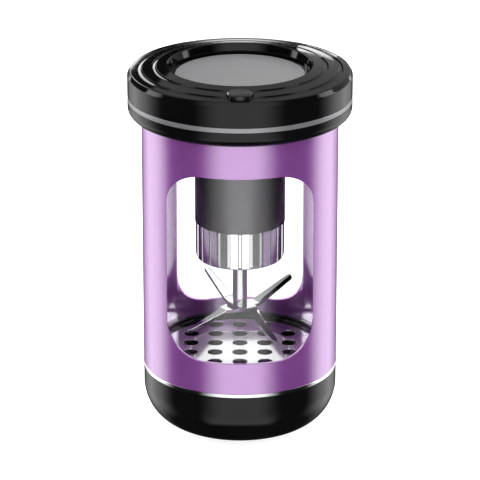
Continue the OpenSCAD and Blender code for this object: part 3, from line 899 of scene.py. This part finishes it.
def blade_path(rise, drop):
    """Middle line of a strip in its own x-z plane, with the slope at each point; angles in degrees."""
    bend_r = 1.8
    points = []
    for sign, bend in ((1, rise), (-1, -drop)):
        bend = math.radians(bend)
        start = FLAT_HALF - bend_r * math.tan(abs(bend) / 2)
        up = math.copysign(1, bend)
        arm = [(start * i / 8, 0.0, 0.0) for i in range(9)]
        for i in range(1, 9):
            turn = bend * i / 8
            arm.append((start + bend_r * math.sin(abs(turn)), up * bend_r * (1 - math.cos(turn)), turn))
        x0, z0, _ = arm[-1]
        reach = BLADE_REACH - x0
        fractions = [i / 8 for i in range(1, 9)]
        straight = [x0 + (reach - TIP_R) * f for f in fractions]
        tip = [BLADE_REACH - TIP_R + TIP_R * math.sin(TURN / 4 * i / 8) for i in range(1, 9)]
        arm += [(x, z0 + (x - x0) * math.tan(bend), bend) for x in straight + tip]
        points.append([(sign * x, z, sign * slope) for x, z, slope in arm])
    return list(reversed(points[1][1:])) + points[0]


def blade_half_width(out):
    """Half the strip's width at a distance from its middle."""
    marks = [(0, 3.2), (2.5, 3.2), (FLAT_HALF, 2.2), (BLADE_REACH - TIP_R, TIP_R), (BLADE_REACH, TIP_R)]
    for (x0, w0), (x1, w1) in zip(marks, marks[1:]):
        if out <= x1:
            half_w = w0 + (w1 - w0) * (out - x0) / (x1 - x0)
            break
    into_tip = max(0, out - (BLADE_REACH - TIP_R)) / TIP_R
    return half_w * max(0.06, math.sqrt(max(0, 1 - into_tip * into_tip)))


def blade(name, node, top_z, turn, drop, ground):
    """A bent strip that narrows towards round tips.

    One arm bends up and the other bends down by drop; ground tells which edge of each is sharp.
    """
    ground_w, edge_t, soft = 1.0, 0.35, 0.07
    t = BLADE_T / 2
    bm = bmesh.new()
    rows = []
    for x, z, slope in blade_path(BLADE_RISE, drop):
        out = abs(x)
        half_w = blade_half_width(out)
        sharp = min(1, max(0, (out - FLAT_HALF) / 2)) * min(1, half_w / TIP_R)
        sharp_side = ground[0] if x > 0 else ground[1]
        sides = [sharp * (side == sharp_side) for side in (0, 1)]
        grind = [soft + (ground_w - soft) * side for side in sides]
        low_0, low_1 = [t - soft - (BLADE_T - edge_t - soft) * side for side in sides]
        edge = min(soft, half_w / 3)
        section = [(-half_w + edge, -t), (half_w - edge, -t), (half_w, -t + soft), (half_w, low_1),
                   (max(half_w - grind[1], 0.03), t), (min(grind[0] - half_w, -0.03), t),
                   (-half_w, low_0), (-half_w, -t + soft)]
        lean = Vector((-math.sin(slope), math.cos(slope)))
        rows.append([bm.verts.new((x + h * lean.x, y, top_z - t + z + h * lean.y)) for y, h in section])
    for first, second in zip(rows, rows[1:]):
        bridge(bm, first, second)
    bm.faces.new(rows[0])
    bm.faces.new(rows[-1])
    bmesh.ops.rotate(bm, verts=bm.verts, matrix=Matrix.Rotation(turn, 3, "Z"))
    stand_for(add_object(name, bm), node)


def blade_rivet():
    z = HUB_Z - 2 * BLADE_T
    piece = lathe("rivet_head", [(0, z - 0.7), (1.2, z - 0.7), (1.9, z - 0.5, 0.3), (2.1, z - 0.15, 0.15),
                                 (2.1, z), (0, z)], segments=96)
    stand_for(piece, "blade_rivet")


base_cup()
cup_thread()
base_foot()
sieve_plate()
sieve_seal()
sleeve()
chrome_ring()
glass_tube()
gaskets()
chamber_collars()
lid_shell()
lid_bosses()
lid_band()
lid_badge()
power_button()
fluted_collar()
blade_shaft()
blade("top_blade", "upper_blade", HUB_Z, BLADE_TURN + TURN / 4, 26, (0, 0))
blade("under_blade", "lower_blade", HUB_Z - BLADE_T, BLADE_TURN, 17, (0, 1))
blade_rivet()


# ---- studio: a pale floor, a white room with dark sides, cards for reflections, and a soft light

def make_floor():
    mesh = bpy.data.meshes.new("floor")
    size = 6
    corners = [(-size, -size, 0), (size, -size, 0), (size, size, 0), (-size, size, 0)]
    mesh.from_pydata(corners, [], [(0, 1, 2, 3)])
    floor = bpy.data.objects.new("floor", mesh)
    mat, shader = start_material("floor", (0.95, 0.95, 0.95), roughness=0.9)
    shader.inputs["Emission Color"].default_value = (1, 1, 1, 1)
    shader.inputs["Emission Strength"].default_value = 0.82
    mesh.materials.append(mat)
    scene.collection.objects.link(floor)
    floor.visible_glossy = False
    floor.visible_transmission = False


def world_math(tree, operation, *values):
    node = tree.nodes.new("ShaderNodeMath")
    node.operation = operation
    for socket, value in zip(node.inputs, values):
        if isinstance(value, (int, float)):
            socket.default_value = value
        else:
            tree.links.new(value, socket)
    return node.outputs[0]


def world_step(tree, value, start, end):
    """0 before start, 1 after end, smooth between them."""
    node = tree.nodes.new("ShaderNodeMapRange")
    node.interpolation_type = "SMOOTHSTEP"
    node.inputs["From Min"].default_value = min(start, end)
    node.inputs["From Max"].default_value = max(start, end)
    node.inputs["To Min"].default_value = 0 if start < end else 1
    node.inputs["To Max"].default_value = 1 if start < end else 0
    tree.links.new(value, node.inputs["Value"])
    return node.outputs["Result"]


def make_world():
    """A softbox in front, a backdrop behind and beside with a dark flag at each side, and a bright sky.

    Angles are in degrees from straight in front; z is the height of a direction of length 1.
    """
    world = bpy.data.worlds.new("studio")
    world.use_nodes = True
    scene.world = world
    tree = world.node_tree
    coords = tree.nodes.new("ShaderNodeTexCoord")
    split = tree.nodes.new("ShaderNodeSeparateXYZ")
    tree.links.new(coords.outputs["Generated"], split.inputs["Vector"])
    x, y, z = split.outputs

    def product(*values):
        result = values[0]
        for value in values[1:]:
            result = world_math(tree, "MULTIPLY", result, value)
        return result

    def step(value, start, end):
        return world_step(tree, value, start, end)

    side = world_math(tree, "ABSOLUTE", x)
    front = world_math(tree, "MULTIPLY", y, -1.0)
    angle = world_math(tree, "DEGREES", world_math(tree, "ARCTAN2", side, front))
    aside = world_math(tree, "DEGREES", world_math(tree, "ARCSINE", side))
    softbox = product(step(aside, 47, 17), step(angle, 62, 42), step(z, -0.88, -0.76), 1.55)
    edge_flag = world_math(tree, "ADD", product(step(angle, 150, 158), 0.3), 0.6)
    flag = product(step(angle, 130, 150), step(angle, 176, 171), edge_flag)
    backdrop = product(step(angle, 84, 116), step(z, 0.03, -0.03), step(z, -0.75, -0.45),
                       world_math(tree, "SUBTRACT", 1.0, flag), 1.8)
    near_horizon = world_math(tree, "ADD", step(z, 0.6, 0.35), 0.5)
    beside = world_math(tree, "ADD", product(step(side, 0.3, 0.6), 2.0), 1.0)
    sky = product(step(y, 0, 0.1), step(z, -0.03, 0.03), near_horizon, beside)
    level = world_math(tree, "ADD", softbox, backdrop)
    level = world_math(tree, "ADD", level, sky)
    level = world_math(tree, "ADD", level, 0.012)
    background = tree.nodes["Background"]
    tree.links.new(level, background.inputs["Strength"])
    background.inputs["Color"].default_value = (1, 1, 1, 1)


def make_card(name, outline, brightness, through_glass=False):
    """A card, drawn in millimetres, that only shows in reflections, or through the glass as well."""
    mesh = bpy.data.meshes.new(name)
    mesh.from_pydata([Vector(corner) * MM for corner in outline], [], [tuple(range(len(outline)))])
    mat, shader = start_material(name, (0, 0, 0), roughness=1)
    shader.inputs["Specular IOR Level"].default_value = 0
    shader.inputs["Emission Color"].default_value = (*brightness, 1)
    shader.inputs["Emission Strength"].default_value = 1
    mesh.materials.append(mat)
    card = bpy.data.objects.new(name, mesh)
    scene.collection.objects.link(card)
    card.visible_camera = False
    card.visible_diffuse = False
    card.visible_transmission = through_glass
    card.visible_shadow = False


def upright(y, outline):
    """An outline of (x, z) as a card that stands behind the object."""
    return [(x, y, z) for x, z in outline]


def mirrored(z, half_outline):
    """The right half of an outline of (x, y), with its mirror image, as a card that lies level."""
    left = [(-x, y) for x, y in reversed(half_outline)]
    return [(x, y, z) for x, y in half_outline + left]


def make_cards():
    """Behind the lid: grey, black with a slanting edge, bright strips. The low card is for the sieve."""
    wide, base, top = 400, 126, 500
    make_card("grey_card", upright(121, [(-wide, base), (wide, base), (wide, top), (-wide, top)]),
              (0.45, 0.45, 0.45))
    make_card("black_card", upright(120, [
        (-wide, base), (60, base), (33.6, 140), (26, 140), (-36.7, 175), (-48.6, 201), (-60, 230),
        (-80, 300), (-wide, 300)]), (0, 0, 0))
    make_card("streak_card", upright(119, [(24, 130), (29, 130), (42, 139), (42, 147), (36, 142), (26, 137)]),
              (3, 3, 3))
    make_card("line_card", upright(119, [
        (-33, 127), (-42, 140), (-54, 165), (-58, 195), (-75, 235), (-130, 260), (-130, 200), (-72, 155),
        (-60, 127)]), (4, 4, 4))
    make_card("low_card", mirrored(200, [(78.2, 453), (73.4, 364), (30.5, 414), (19.4, 434)]),
              (0.27, 0.18, 0.3), through_glass=True)


def make_top_light():
    data = bpy.data.lights.new("top_light", "AREA")
    data.shape = "SQUARE"
    data.size = 2.0
    data.energy = 26
    light = bpy.data.objects.new("top_light", data)
    light.location = (0, 0.1, 1.6)
    light.rotation_euler = (-light.location).to_track_quat("-Z", "Y").to_euler()
    light.visible_glossy = False
    scene.collection.objects.link(light)


make_floor()
make_world()
make_cards()
make_top_light()
scene.view_settings.view_transform = "Standard"
